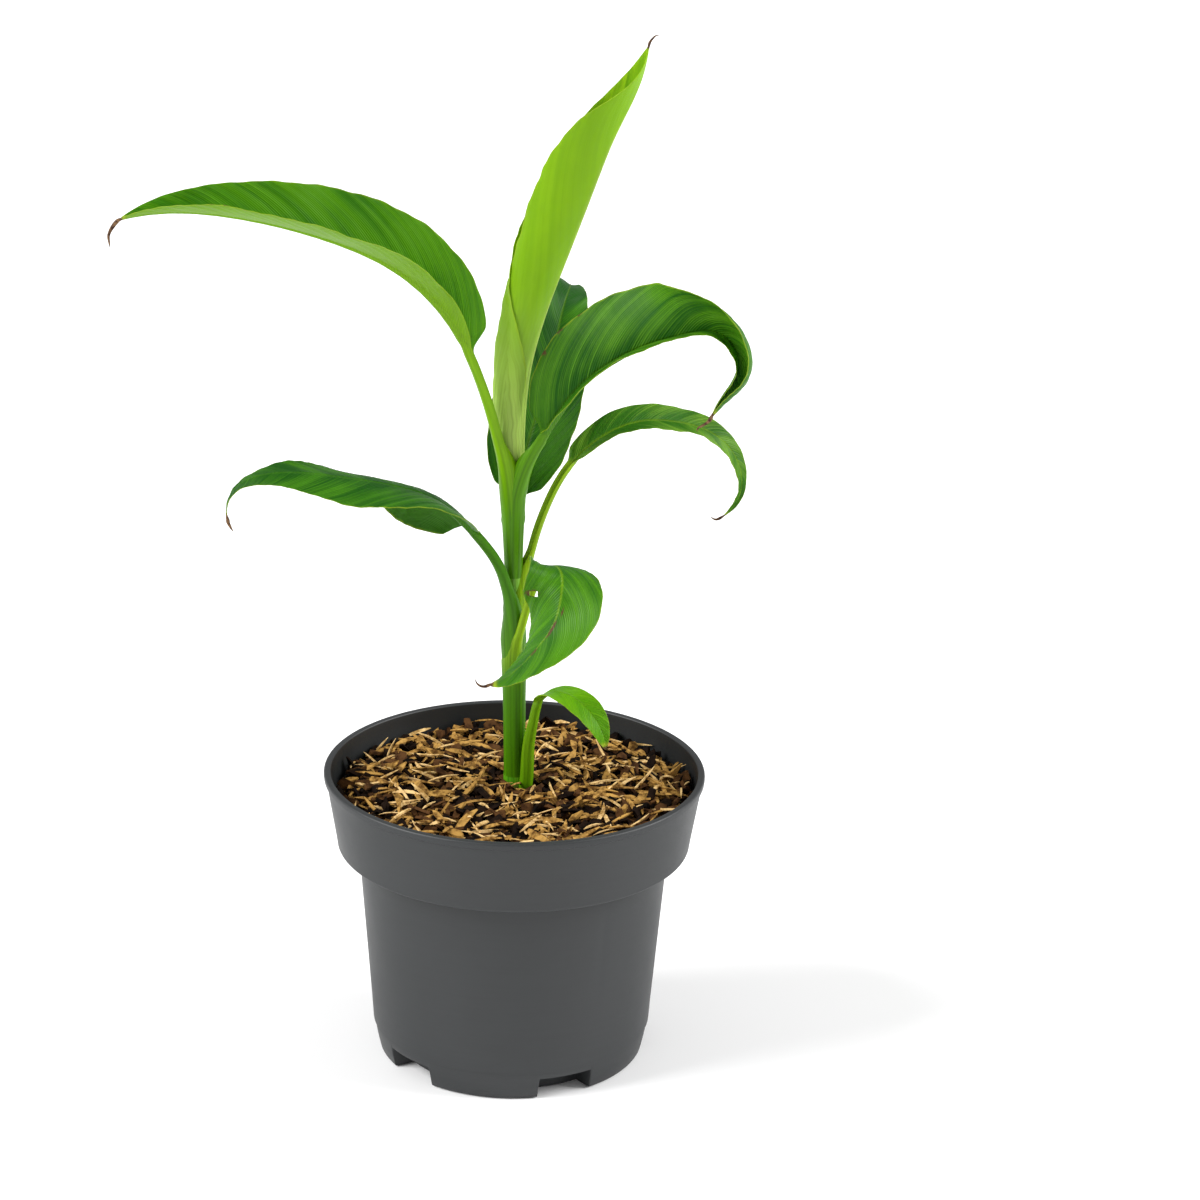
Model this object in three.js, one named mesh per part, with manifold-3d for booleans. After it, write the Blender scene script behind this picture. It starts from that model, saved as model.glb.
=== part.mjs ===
// A young potted banana plant, about 380 mm tall with its nursery pot.
// Millimetres, +Z up. The origin is the middle of the pot's flat underside.
// A leaf is a sheet that runs along its midrib: the midrib is a curve of known length whose pitch
// and heading change along it, and each half of the blade leans and curls away from that curve.

import * as THREE from 'three';
import { mergeVertices } from 'three/addons/utils/BufferGeometryUtils.js';
import Module from 'manifold-3d';

const wasm = await Module();
wasm.setup();

const GAP = 0.3;                                  // clearance left between touching pieces

// Pot: a round, tapered nursery pot with a collar, a rolled lip and a notched foot.
const POT_HEIGHT = 110;
const RIM_RADIUS = 70;
const LIP_HEIGHT = 2.6;
const LIP_WIDTH = 2.5;
const COLLAR_BOTTOM = 81.3;
const COLLAR_RADIUS = 65.1;
const BODY_TOP_RADIUS = 57.4;
const SEAM_HEIGHT = 11.2;
const SEAM_RADIUS = 51.3;
const BASE_RADIUS = 49.1;
const WALL = 1.5;
const FLOOR = 2;
const FOOT_STEP_RADIUS = 38.5;
const FOOT_STEP_HEIGHT = 10;
const POT_SIDES = 60;

const NOTCHES = 5;
const NOTCH_WIDTH = 21;
const NOTCH_HEIGHT = 8;
const NOTCH_INNER_RADIUS = 41;
const FIRST_NOTCH = 24 - 90;                      // degrees round from +X
const HOLE_WIDTH = 9;
const HOLE_BOTTOM = 3;
const HOLE_TOP = 7;

// Compost: fills the pot to just under its rim, and is flat where the stem stands on it.
const COMPOST_EDGE = 101;
const COMPOST_MIDDLE = 102.6;
const COMPOST_SEAT = 101.5;
const SEAT_RADIUS = 10;
const COMPOST_BUMP = 0.8;
const COMPOST_SIDES = 40;

// Stem: a false stem of rolled leaf sheaths that leans a little and narrows to its fork.
const STEM_FOOT = COMPOST_SEAT + GAP;
const STEM_TOP = 220.5;
const STEM_FOOT_CENTRE = new THREE.Vector3(0.1, 2.5, STEM_FOOT);
const STEM_TOP_CENTRE = new THREE.Vector3(-2.2, 2.5, STEM_TOP);
const STEM_RADII = [4.7, 4.0, 3.8, 3.6, 3.4, 3.3, 3.2];
const STEM_SIDES = 20;

const BLADE_THICKNESS = 1;
const NARROWEST = 0.5;                            // half a blade's width at its very tip
const ROW_LENGTH = 7;                             // length of one row of facets along a blade
const COLUMNS = 3;                                // facets across each half of a blade
const STALK_SIDES = 8;
const LEAF_OFFSET = 0.5;                          // from the stem's surface to a leaf's start
const STALK_END_GAP = 0.8;                        // the blade's end face is not quite square to its midrib

// Pitch and heading are the midrib's angles, in degrees, at even steps from the stem to the tip.
// "left" is the half of the blade on the left of someone who walks up the leaf. Fold, curl and bank are
// at even steps from the base of the blade to its tip. fold: degrees that the half rises from flat at the
// midrib; curl: degrees it turns from there out; bank: degrees that the whole blade leans over.
// bladeFrom is the share of the midrib that is bare stalk; cuts are where the blade is split.
const LEAVES = [
  {
    name: 'upper_left_leaf', colour: 0x6a9c1f, stalkRadius: 2.3,
    start: onStem(214, -125), length: 198, bladeFrom: 0.28, cuts: [0.45],
    pitch: [85, 75, 65, 45, 25, 15, 5, -15], heading: [-160, -175], bank: [-10],
    left: half(16, 0.5, [50, 35, 25, 30, 40], [15], 0.8),
    right: half(19, 0.35, [75, 65, 60], [20, 10, 0], 0.8),
  },
  {
    name: 'upper_right_leaf', colour: 0x3f7f22, stalkRadius: 2.3,
    start: onStem(214, -55), length: 140, bladeFrom: 0.18, cuts: [0.36, 0.7],
    pitch: [80, 70, 60, 55, 40, 30, 20, 10, -60, -120, -110], heading: [-15, -5, -15, -10], bank: [0],
    left: half(21, 0.4, [75, 75, 90, 95, 85], [5, 0, -15, 60, 100]),
    right: half(12, 0.35, [5, 10, 0], [-10], 1),
  },
  {
    name: 'back_leaf', colour: 0x2c6a26, stalkRadius: 1.9,
    start: onStem(204, 90, 2), length: 110, bladeFrom: 0.07, cuts: [0.72],
    pitch: [85, 70, 65, 65, 60, 0, -30], heading: [50, 55, 100], bank: [40, 40, 10],
    left: half(18, 0.4, [10, 15], [5]),
    right: half(15, 0.3, [15, 5, 10], [5], 0.8),
  },
  {
    name: 'lower_right_leaf', colour: 0x4a8a2e, stalkRadius: 1.5,
    start: onStem(171, 15), length: 156, bladeFrom: 0.36, cuts: [0.52],
    pitch: [90, 80, 70, 60, 40, 20, -5, -20, -50, -90, -150], heading: [30, 20, 10], bank: [20, 40, 80],
    left: half(7, 0.25, [10, 15], [5], 0.9),
    right: half(5.5, 0.4, [15], [5], 0.8),
  },
  {
    name: 'lower_left_leaf', colour: 0x3f7f1f, stalkRadius: 2.3,
    start: onStem(159, -105), length: 154, bladeFrom: 0.3, cuts: [0.6],
    pitch: [90, 80, 55, 45, 20, 10, 5, -20, -105], heading: [-155, -160, -175, -170], bank: [0],
    left: half(16, 0.25, [10, 5, -30, -40, -25], [-10], 1.3),
    right: half(27, 0.2, [35, 15, 5, 10, -5], [-145, -120, -40, 10, 5], 1.5),
  },
  {
    name: 'front_leaf', colour: 0x6c9a22, stalkRadius: 1.9,
    start: onStem(151, -80), length: 110, bladeFrom: 0.34, cuts: [0.42],
    pitch: [90, 75, 70, 50, -5, -65, -50, -45, -20], heading: [-30, -45, -70, -150, -185], bank: [0],
    left: half(15, 0.4, [-5, -15, -5], [-10]),
    right: half(9, 0.5, [0, 5, 0], [-10]),
  },
  {
    name: 'sucker', colour: 0x7aa62b, stalkRadius: 1.9,
    start: [5.6, -2, STEM_FOOT + 0.6], length: 78, bladeFrom: 0.48, cuts: [],
    pitch: [80, 90, 80, 75, 20, -20, -50, -85], heading: [-50, -40, -30], bank: [0, 20, 30],
    left: half(5, 0.6, [20], [5], 1),
    right: half(7, 0.4, [10], [5]),
  },
];

// The youngest leaf is still furled: a standing roll, from its foot in the fork to its thin tip.
const ROLL_COLOUR = 0x9cc23c;
const ROLL_FOOT = STEM_TOP + GAP;
const ROLL_TOP = 378;
const ROLL_CENTRE_X = [-1.5, 0, 4, 21, 44];
const ROLL_CENTRE_Y = 5;
const ROLL_HALF_WIDTH = [4, 4.5, 10, 9, 0.5];
const ROLL_SIDES = 14;
const ROLL_HALF_DEPTH = [3.5, 4, 5.5, 4.5, 0.5];

const radians = THREE.MathUtils.degToRad;

// Smooth value at share t of a list of evenly spaced values, on a Catmull-Rom curve.
function along(values, t) {
  if (values.length === 1) return values[0];
  const spans = values.length - 1;
  const at = THREE.MathUtils.clamp(t, 0, 1) * spans;
  const i = Math.min(Math.floor(at), spans - 1);
  const f = at - i;
  const b = values[i];
  const c = values[i + 1];
  const a = i > 0 ? values[i - 1] : 2 * b - c;
  const d = i + 2 <= spans ? values[i + 2] : 2 * c - b;
  return b + 0.5 * f * (c - a + f * (2 * a - 5 * b + 4 * c - d + f * (3 * (b - c) + d - a)));
}

// A closed body from rings of points: rings are joined in turn, and each end is fanned to a point.
function skin(rings, startPoint, endPoint) {
  const sides = rings[0].length;
  const points = [startPoint, ...rings.flat(), endPoint];
  const last = points.length - 1;
  const corner = (ring, side) => 1 + ring * sides + (side % sides);
  const faces = [];
  for (let side = 0; side < sides; side += 1) {
    faces.push(0, corner(0, side + 1), corner(0, side));
    for (let ring = 0; ring + 1 < rings.length; ring += 1) {
      const a = corner(ring, side);
      const b = corner(ring, side + 1);
      const c = corner(ring + 1, side + 1);
      const d = corner(ring + 1, side);
      faces.push(a, b, c, a, c, d);
    }
    faces.push(last, corner(rings.length - 1, side), corner(rings.length - 1, side + 1));
  }
  return indexed(points, faces);
}

function indexed(points, faces) {
  const geometry = new THREE.BufferGeometry();
  geometry.setAttribute('position', new THREE.Float32BufferAttribute(points.flatMap((p) => p.toArray()), 3));
  geometry.setIndex(faces);
  return geometry;
}

// Turns a profile of [radius, height] pairs round the Z axis; it starts and ends on the axis.
function turned(profile, sides, lift = () => 0) {
  const rings = profile.slice(1, -1).map(([radius, height]) =>
    Array.from({ length: sides }, (_, side) => {
      const angle = (2 * Math.PI * side) / sides;
      return new THREE.Vector3(
        radius * Math.cos(angle),
        radius * Math.sin(angle),
        height + lift(radius, height, angle),
      );
    }));
  const foot = new THREE.Vector3(0, 0, profile[0][1]);
  const top = new THREE.Vector3(0, 0, profile.at(-1)[1]);
  return skin(rings, foot, top);
}

// A round limb through centres, with a radius (or a radius across and one deep) at each.
function limb(centres, radii, frames, sides) {
  const rings = centres.map((centre, i) =>
    Array.from({ length: sides }, (_, side) => {
      const angle = (2 * Math.PI * side) / sides;
      const [across, deep] = [radii[i]].flat();
      return centre.clone()
        .addScaledVector(frames[i].side, across * Math.cos(angle))
        .addScaledVector(frames[i].up, (deep ?? across) * Math.sin(angle));
    }));
  return skin(rings, centres[0], centres.at(-1));
}

// Midrib: points, and the side and upper directions, at each share t, by adding up short steps.
function midrib(leaf) {
  const steps = 240;
  const stations = [];
  const point = new THREE.Vector3(...leaf.start);
  const step = leaf.length / steps;
  for (let i = 0; i <= steps; i += 1) {
    const t = i / steps;
    const pitch = radians(along(leaf.pitch, t));
    const heading = radians(along(leaf.heading, t));
    const forward = new THREE.Vector3(
      Math.cos(pitch) * Math.cos(heading),
      Math.cos(pitch) * Math.sin(heading),
      Math.sin(pitch),
    );
    const flat = new THREE.Vector3(-Math.sin(heading), Math.cos(heading), 0);
    const rise = new THREE.Vector3().crossVectors(forward, flat);
    const bladeShare = THREE.MathUtils.clamp((t - leaf.bladeFrom) / (1 - leaf.bladeFrom), 0, 1);
    const bank = radians(along(leaf.bank, bladeShare));
    const side = flat.clone().multiplyScalar(Math.cos(bank)).addScaledVector(rise, Math.sin(bank));
    const up = rise.clone().multiplyScalar(Math.cos(bank)).addScaledVector(flat, -Math.sin(bank));
    stations.push({ point: point.clone(), side, up });
    point.addScaledVector(forward, step);
  }
  return (t) => {
    const at = THREE.MathUtils.clamp(t, 0, 1) * steps;
    const i = Math.min(Math.floor(at), steps - 1);
    const [a, b] = [stations[i], stations[i + 1]];
    const mix = (key) => new THREE.Vector3().lerpVectors(a[key], b[key], at - i);
    return { point: mix('point'), side: mix('side').normalize(), up: mix('up').normalize() };
  };
}

// Stalk: a round limb from the stem to where the blade starts. "grow" fattens it, to cut a gap.
function stalk(leaf, grow = 0) {
  const rib = midrib(leaf);
  const steps = 9;
  const taper = 0.35;
  const end = leaf.bladeFrom - STALK_END_GAP / leaf.length;
  const stations = Array.from({ length: steps + 1 }, (_, i) => rib((end * i) / steps));
  const radii = stations.map((_, i) => leaf.stalkRadius * (1 - (taper * i) / steps) + grow);
  return limb(stations.map((s) => s.point), radii, stations, STALK_SIDES);
}

// Where a leaf leaves the stem: just off its surface at a height, in the compass direction side.
function onStem(height, side, offset = LEAF_OFFSET) {
  const t = (height - STEM_FOOT) / (STEM_TOP - STEM_FOOT);
  const reach = along(STEM_RADII, t) + offset;
  const centre = new THREE.Vector3().lerpVectors(STEM_FOOT_CENTRE, STEM_TOP_CENTRE, t);
  const angle = THREE.MathUtils.degToRad(side);
  return [centre.x + reach * Math.cos(angle), centre.y + reach * Math.sin(angle), height];
}

// One half of a blade: its greatest width, the share of the blade where that is, the angles at which it
// leaves the midrib, the angles through which it then rolls, and how sharply it narrows to both ends.
function half(width, broadest, fold, curl, taper = 0.6) {
  return { width, broadest, fold, curl, taper };
}

// Width of a half blade at a share of its length: the sine of half a turn run at an uneven pace, so that
// its crest falls where the blade is broadest, raised to the half's taper.
function outline(half, share) {
  const pace = Math.log(0.5) / Math.log(half.broadest);
  const wave = Math.sin(Math.PI * THREE.MathUtils.clamp(share, 0, 1) ** pace);
  return half.width * Math.max(wave, 0) ** half.taper;
}

// How far a half blade has gone across and up at distance d, when it leaves flat by fold and then
// turns evenly through curl over its whole width: the integral of a turning direction.
function across(width, fold, curl, share) {
  const turn = Math.abs(curl) < 1 ? 1 : curl;
  const from = radians(fold);
  const to = radians(fold + turn * share);
  const radius = width / radians(turn);
  return [radius * (Math.sin(to) - Math.sin(from)), radius * (Math.cos(from) - Math.cos(to))];
}

// Blade from share ta to share tb of the midrib: a thin closed shell of even thickness.
function blade(leaf, ta, tb) {
  const rib = midrib(leaf);
  const rows = Math.max(4, Math.round(((tb - ta) * leaf.length) / ROW_LENGTH));
  const middle = [];
  for (let row = 0; row <= rows; row += 1) {
    const t = ta + ((tb - ta) * row) / rows;
    const share = (t - leaf.bladeFrom) / (1 - leaf.bladeFrom);
    const station = rib(t);
    const place = (half, sign, column) => {
      const width = Math.max(outline(half, share), NARROWEST);
      const fold = along(half.fold, share);
      const curl = along(half.curl, share);
      const [out, up] = across(width, fold, curl, column / COLUMNS);
      return station.point.clone()
        .addScaledVector(station.side, sign * out)
        .addScaledVector(station.up, up);
    };
    const line = [];
    for (let column = COLUMNS; column > 0; column -= 1) line.push(place(leaf.right, -1, column));
    for (let column = 0; column <= COLUMNS; column += 1) line.push(place(leaf.left, 1, column));
    middle.push(line);
  }
  return shell(middle, BLADE_THICKNESS);
}

// A grid of points made into a closed body: both faces stand half a thickness off the grid.
function shell(grid, thickness) {
  const rows = grid.length;
  const columns = grid[0].length;
  const { clamp } = THREE.MathUtils;
  const at = (row, column) => grid[clamp(row, 0, rows - 1)][clamp(column, 0, columns - 1)];
  const points = [];
  for (const face of [1, -1]) {
    for (let row = 0; row < rows; row += 1) {
      for (let column = 0; column < columns; column += 1) {
        const onward = at(row + 1, column).clone().sub(at(row - 1, column));
        const outward = at(row, column + 1).clone().sub(at(row, column - 1));
        const normal = onward.cross(outward).normalize();
        points.push(at(row, column).clone().addScaledVector(normal, (face * thickness) / 2));
      }
    }
  }
  const upper = (row, column) => row * columns + column;
  const lower = (row, column) => rows * columns + upper(row, column);
  const faces = [];
  const quad = (a, b, c, d) => faces.push(a, b, c, a, c, d);
  for (let row = 0; row + 1 < rows; row += 1) {
    for (let column = 0; column + 1 < columns; column += 1) {
      quad(upper(row, column), upper(row + 1, column), upper(row + 1, column + 1), upper(row, column + 1));
      quad(lower(row, column), lower(row, column + 1), lower(row + 1, column + 1), lower(row + 1, column));
    }
    quad(upper(row, 0), lower(row, 0), lower(row + 1, 0), upper(row + 1, 0));
    const end = columns - 1;
    quad(upper(row, end), upper(row + 1, end), lower(row + 1, end), lower(row, end));
  }
  for (let column = 0; column + 1 < columns; column += 1) {
    const end = rows - 1;
    quad(upper(0, column), upper(0, column + 1), lower(0, column + 1), lower(0, column));
    quad(upper(end, column), lower(end, column), lower(end, column + 1), upper(end, column + 1));
  }
  return indexed(points, faces);
}

// Booleans.
function solid(geometry) {
  return new wasm.Manifold(new wasm.Mesh({
    numProp: 3,
    vertProperties: new Float32Array(geometry.attributes.position.array),
    triVerts: new Uint32Array(geometry.index.array),
  }));
}

function fromSolid(body) {
  const mesh = body.getMesh();
  const geometry = new THREE.BufferGeometry();
  geometry.setAttribute('position', new THREE.BufferAttribute(mesh.vertProperties, 3));
  geometry.setIndex(new THREE.BufferAttribute(mesh.triVerts, 1));
  return geometry;
}

function cut(geometry, tools) {
  let body = solid(geometry);
  for (const tool of tools) body = body.subtract(solid(tool));
  return fromSolid(body);
}

// Pot.
function potProfile() {
  const outside = [
    [0, 0],
    [BASE_RADIUS - 0.6, 0],
    [BASE_RADIUS, 0.6],
    [SEAM_RADIUS, SEAM_HEIGHT],
    [BODY_TOP_RADIUS, COLLAR_BOTTOM],
    [COLLAR_RADIUS - 1.2, COLLAR_BOTTOM],
    [COLLAR_RADIUS, COLLAR_BOTTOM + 1.2],
    [RIM_RADIUS - 0.7, POT_HEIGHT - LIP_HEIGHT],
    [RIM_RADIUS, POT_HEIGHT - LIP_HEIGHT + 0.5],
    [RIM_RADIUS, POT_HEIGHT - 0.6],
    [RIM_RADIUS - 0.6, POT_HEIGHT],
  ];
  const inside = [
    [RIM_RADIUS - LIP_WIDTH + 0.4, POT_HEIGHT],
    [RIM_RADIUS - LIP_WIDTH, POT_HEIGHT - 0.5],
    [COLLAR_RADIUS - WALL, COLLAR_BOTTOM + WALL + 1],
    [COLLAR_RADIUS - WALL - 1, COLLAR_BOTTOM + WALL],
    [BODY_TOP_RADIUS - WALL, COLLAR_BOTTOM + WALL],
    [SEAM_RADIUS - WALL, FOOT_STEP_HEIGHT],
    [FOOT_STEP_RADIUS, FOOT_STEP_HEIGHT],
    [FOOT_STEP_RADIUS, FLOOR],
    [0, FLOOR],
  ];
  return { outside, inside };
}

// A box that points out from the pot's axis at an angle.
function boxAt(angle, fromRadius, toRadius, width, bottom, top) {
  const box = new THREE.BoxGeometry(toRadius - fromRadius, width, top - bottom);
  box.deleteAttribute('normal');
  box.deleteAttribute('uv');
  box.translate((fromRadius + toRadius) / 2, 0, (bottom + top) / 2);
  box.rotateZ(angle);
  return mergeVertices(box);
}

function pot() {
  const { outside, inside } = potProfile();
  const whole = turned([...outside, ...inside], POT_SIDES);
  const tools = [];
  for (let i = 0; i < NOTCHES; i += 1) {
    const angle = radians(FIRST_NOTCH + (360 / NOTCHES) * i);
    tools.push(boxAt(angle, NOTCH_INNER_RADIUS, RIM_RADIUS, NOTCH_WIDTH, -1, NOTCH_HEIGHT));
    tools.push(boxAt(angle, FOOT_STEP_RADIUS - 3, NOTCH_INNER_RADIUS + 1, HOLE_WIDTH, HOLE_BOTTOM, HOLE_TOP));
  }
  return cut(whole, tools);
}

// Compost: the pot's inside, a gap smaller, under an uneven top with a flat seat for the stem.
function compost() {
  const wall = potProfile().inside;
  const [, , collarFoot, collarStep, bodyTop, foot, stepOut, stepIn] = wall;
  const inset = ([radius, height]) => [radius - GAP, height + GAP];
  const edge = RIM_RADIUS - LIP_WIDTH - 1.6;
  const profile = [
    [0, FLOOR + GAP],
    inset(stepIn),
    inset(stepOut),
    inset(foot),
    inset(bodyTop),
    inset(collarStep),
    inset(collarFoot),
    [edge, COMPOST_EDGE],
    [0.8 * edge, COMPOST_EDGE + 0.8],
    [0.6 * edge, COMPOST_MIDDLE - 0.4],
    [0.4 * edge, COMPOST_MIDDLE],
    [2 * SEAT_RADIUS, COMPOST_MIDDLE],
    [SEAT_RADIUS, COMPOST_SEAT],
    [0, COMPOST_SEAT],
  ];
  const bumps = (radius, height, angle) => {
    const onTop = height > COMPOST_EDGE - 1 && radius > SEAT_RADIUS;
    return onTop ? COMPOST_BUMP * Math.sin(5 * angle + radius / 3) * Math.cos(3 * angle - radius / 5) : 0;
  };
  return turned(profile, COMPOST_SIDES, bumps);
}

const LEVEL = { side: new THREE.Vector3(1, 0, 0), up: new THREE.Vector3(0, 1, 0) };

function stem(grow = 0) {
  const count = STEM_RADII.length;
  const centres = STEM_RADII.map((_, i) =>
    new THREE.Vector3().lerpVectors(STEM_FOOT_CENTRE, STEM_TOP_CENTRE, i / (count - 1)));
  const radii = STEM_RADII.map((radius) => radius + grow);
  return limb(centres, radii, centres.map(() => LEVEL), STEM_SIDES);
}

function furledLeaf(grow = 0) {
  const steps = 27;
  const centres = [];
  const radii = [];
  for (let i = 0; i <= steps; i += 1) {
    const t = i / steps;
    const height = THREE.MathUtils.lerp(ROLL_FOOT - grow, ROLL_TOP, t);
    centres.push(new THREE.Vector3(along(ROLL_CENTRE_X, t), ROLL_CENTRE_Y, height));
    radii.push([along(ROLL_HALF_WIDTH, t) + grow, along(ROLL_HALF_DEPTH, t) + grow]);
  }
  return limb(centres, radii, centres.map(() => LEVEL), ROLL_SIDES);
}

const plant = new THREE.Group();

function add(name, geometry, colour, roughness) {
  const material = new THREE.MeshStandardMaterial({ color: colour, roughness, metalness: 0 });
  const mesh = new THREE.Mesh(geometry, material);
  mesh.name = name;
  plant.add(mesh);
}

const LEAF_ROUGHNESS = 0.45;

add('pot', pot(), 0x4b5053, 0.55);
add('compost', compost(), 0x5a4128, 0.95);
add('stem', stem(), 0x5f9a1e, LEAF_ROUGHNESS);
add('furled_leaf', furledLeaf(), ROLL_COLOUR, LEAF_ROUGHNESS);

// Stalks crowd together at the stem, so each is cut clear of the stem and of those before it.
const inTheWay = [stem(GAP), furledLeaf(GAP)];
for (const leaf of [...LEAVES].reverse()) {
  add(`${leaf.name}_stalk`, cut(stalk(leaf), inTheWay), leaf.colour, LEAF_ROUGHNESS);
  inTheWay.push(stalk(leaf, GAP));
}

// Blades that arch over are split at their bends, with a gap between the pieces.
const BLADE_NAMES = [['blade'], ['inner_blade', 'outer_blade'], ['inner_blade', 'middle_blade', 'tip_blade']];

for (const leaf of LEAVES) {
  const bladeShare = 1 - leaf.bladeFrom;
  const halfGap = (0.5 * GAP) / leaf.length;
  const ends = [0, ...leaf.cuts, 1].map((share) => leaf.bladeFrom + bladeShare * share);
  BLADE_NAMES[leaf.cuts.length].forEach((name, i) => {
    const from = i === 0 ? ends[i] : ends[i] + halfGap;
    const to = i === leaf.cuts.length ? ends[i + 1] : ends[i + 1] - halfGap;
    add(`${leaf.name}_${name}`, blade(leaf, from, to), leaf.colour, LEAF_ROUGHNESS);
  });
}

export default plant;
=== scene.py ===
"""A young banana plant in a nursery pot: leaves as thin veined sheets, a sheathed stem, a moulded pot
and a mulch of bark and coir. Shapes are worked out in millimetres and put into meshes in metres."""
import math

import bpy
import numpy as np
from mathutils import Matrix, Vector


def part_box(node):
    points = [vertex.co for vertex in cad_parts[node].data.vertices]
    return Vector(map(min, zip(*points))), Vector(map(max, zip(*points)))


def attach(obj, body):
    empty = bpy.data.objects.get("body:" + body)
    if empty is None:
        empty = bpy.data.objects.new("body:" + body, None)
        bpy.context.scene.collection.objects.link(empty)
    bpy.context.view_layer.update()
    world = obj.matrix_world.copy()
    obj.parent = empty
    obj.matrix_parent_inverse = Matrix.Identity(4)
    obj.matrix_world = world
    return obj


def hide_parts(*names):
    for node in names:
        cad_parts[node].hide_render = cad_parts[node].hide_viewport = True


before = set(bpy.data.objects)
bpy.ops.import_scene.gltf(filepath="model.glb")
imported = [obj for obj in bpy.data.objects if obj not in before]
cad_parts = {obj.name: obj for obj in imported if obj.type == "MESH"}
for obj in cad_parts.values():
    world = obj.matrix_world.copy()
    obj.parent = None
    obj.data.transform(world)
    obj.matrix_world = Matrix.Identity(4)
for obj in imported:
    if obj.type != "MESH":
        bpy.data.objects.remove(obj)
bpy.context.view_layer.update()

MM = 0.001

# Places taken from the frame, in mm.
POT_HIGH = np.array(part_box("pot")[1]) / MM
STEM_LOW, STEM_HIGH = (np.array(corner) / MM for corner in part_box("stem"))
RIM_RADIUS = POT_HIGH[0]
RIM_HEIGHT = POT_HIGH[2]
STEM_FOOT = STEM_LOW[2]
FORK = STEM_HIGH[2]


# ---------------------------------------------------------------- numbers

def keys(values, share):
    """Smooth value at each share (0 to 1) of a list of evenly spaced values: a Catmull-Rom cubic."""
    v = np.atleast_1d(np.asarray(values, float))
    spans = len(v) - 1
    if spans < 1:
        return np.full(np.shape(share), v[0])
    at = np.clip(np.asarray(share, float), 0, 1) * spans
    i = np.minimum(at.astype(int), spans - 1)
    f = at - i
    p = np.concatenate([[2 * v[0] - v[1]], v, [2 * v[-1] - v[-2]]])
    a, b, c, d = p[i], p[i + 1], p[i + 2], p[i + 3]
    return b + 0.5 * f * (c - a + f * (2 * a - 5 * b + 4 * c - d + f * (3 * (b - c) + d - a)))


def smooth(low, high, x):
    """0 below low, 1 above high, and the cubic 3t^2 - 2t^3 between."""
    t = np.clip((np.asarray(x, float) - low) / (high - low), 0, 1)
    return t * t * (3 - 2 * t)


def unit(vectors):
    """Each vector over its length."""
    return vectors / (np.linalg.norm(vectors, axis=-1, keepdims=True) + 1e-12)


def mix(a, b, share):
    """a where share is 0, b where it is 1, and a straight mix between."""
    return a + (b - a) * share


# ---------------------------------------------------------------- meshes

def mesh_piece(name, points, faces, finish, attributes=None, crease=50):
    """An object at the origin from points in mm and a list of faces, shaded smooth up to a crease."""
    mesh = bpy.data.meshes.new(name)
    mesh.from_pydata((np.asarray(points) * MM).tolist(), [], faces)
    for key, values in (attributes or {}).items():
        data = mesh.attributes.new(key, "FLOAT", "POINT").data
        data.foreach_set("value", np.ravel(values).astype(np.float32))
    mesh.validate()
    mesh.polygons.foreach_set("use_smooth", np.ones(len(mesh.polygons), bool))
    mesh.set_sharp_from_angle(angle=math.radians(crease))
    piece = bpy.data.objects.new(name, mesh)
    bpy.context.scene.collection.objects.link(piece)
    mesh.materials.append(finish)
    return piece


def declare(piece, slot, *nodes):
    """Attaches the piece to the root body and hides the solids of model.glb that it stands for. The slot is
    not used.
    """
    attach(piece, "root")
    if nodes:
        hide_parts(*nodes)


def shell_faces(rows, columns, keep=None):
    """Quads of a closed sheet: the upper face's grid, then the lower face's, and a rim quad along every
    grid edge where a kept cell meets a cut one or the outside."""
    keep = np.ones((rows - 1, columns - 1), bool) if keep is None else keep
    up = np.arange(rows * columns).reshape(rows, columns)
    low = up + rows * columns
    a, b, c, d = up[:-1, :-1], up[:-1, 1:], up[1:, 1:], up[1:, :-1]
    half = rows * columns
    top = np.stack([a, d, c, b], -1)[keep]
    bottom = np.stack([a, b, c, d], -1)[keep] + half
    padded = np.pad(keep, 1)
    right, left = padded[1:-1, 1:], padded[1:-1, :-1]
    first, last = padded[1:, 1:-1], padded[:-1, 1:-1]
    along_up, along_low = (up[:-1], up[1:]), (low[:-1], low[1:])
    over_up, over_low = (up[:, :-1], up[:, 1:]), (low[:, :-1], low[:, 1:])
    rims = [
        np.stack([along_up[0], along_low[0], along_low[1], along_up[1]], -1)[right & ~left],
        np.stack([along_up[0], along_up[1], along_low[1], along_low[0]], -1)[left & ~right],
        np.stack([over_up[0], over_up[1], over_low[1], over_low[0]], -1)[first & ~last],
        np.stack([over_up[0], over_low[0], over_low[1], over_up[1]], -1)[last & ~first],
    ]
    return np.concatenate([top, bottom, *rims]).tolist()


def ring_faces(rings, sides):
    """Faces of a closed body made of rings of points: quads between rings, and a fan of triangles to the
    first and to the last point, which are its poles."""
    ring = 1 + np.arange(rings * sides).reshape(rings, sides)
    nxt = np.roll(ring, -1, axis=1)
    quads = np.stack([ring[:-1], nxt[:-1], nxt[1:], ring[1:]], -1).reshape(-1, 4)
    start = np.stack([np.zeros(sides, int), nxt[0], ring[0]], -1)
    end = np.stack([np.full(sides, 1 + rings * sides), ring[-1], nxt[-1]], -1)
    return quads.tolist() + start.tolist() + end.tolist()


def ring_body(name, rings, finish, attributes=None, crease=50):
    """A closed body from an array of rings (ring, side, xyz), each end closed to the middle of its ring."""
    count, sides, _ = rings.shape
    points = np.concatenate([rings[:1].mean(1), rings.reshape(-1, 3), rings[-1:].mean(1)])
    full = {}
    for key, values in (attributes or {}).items():
        values = np.asarray(values, float)
        full[key] = np.concatenate([[values[0].mean()], values.ravel(), [values[-1].mean()]])
    return mesh_piece(name, points, ring_faces(count, sides), finish, full, crease)


# ---------------------------------------------------------------- finishes

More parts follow.
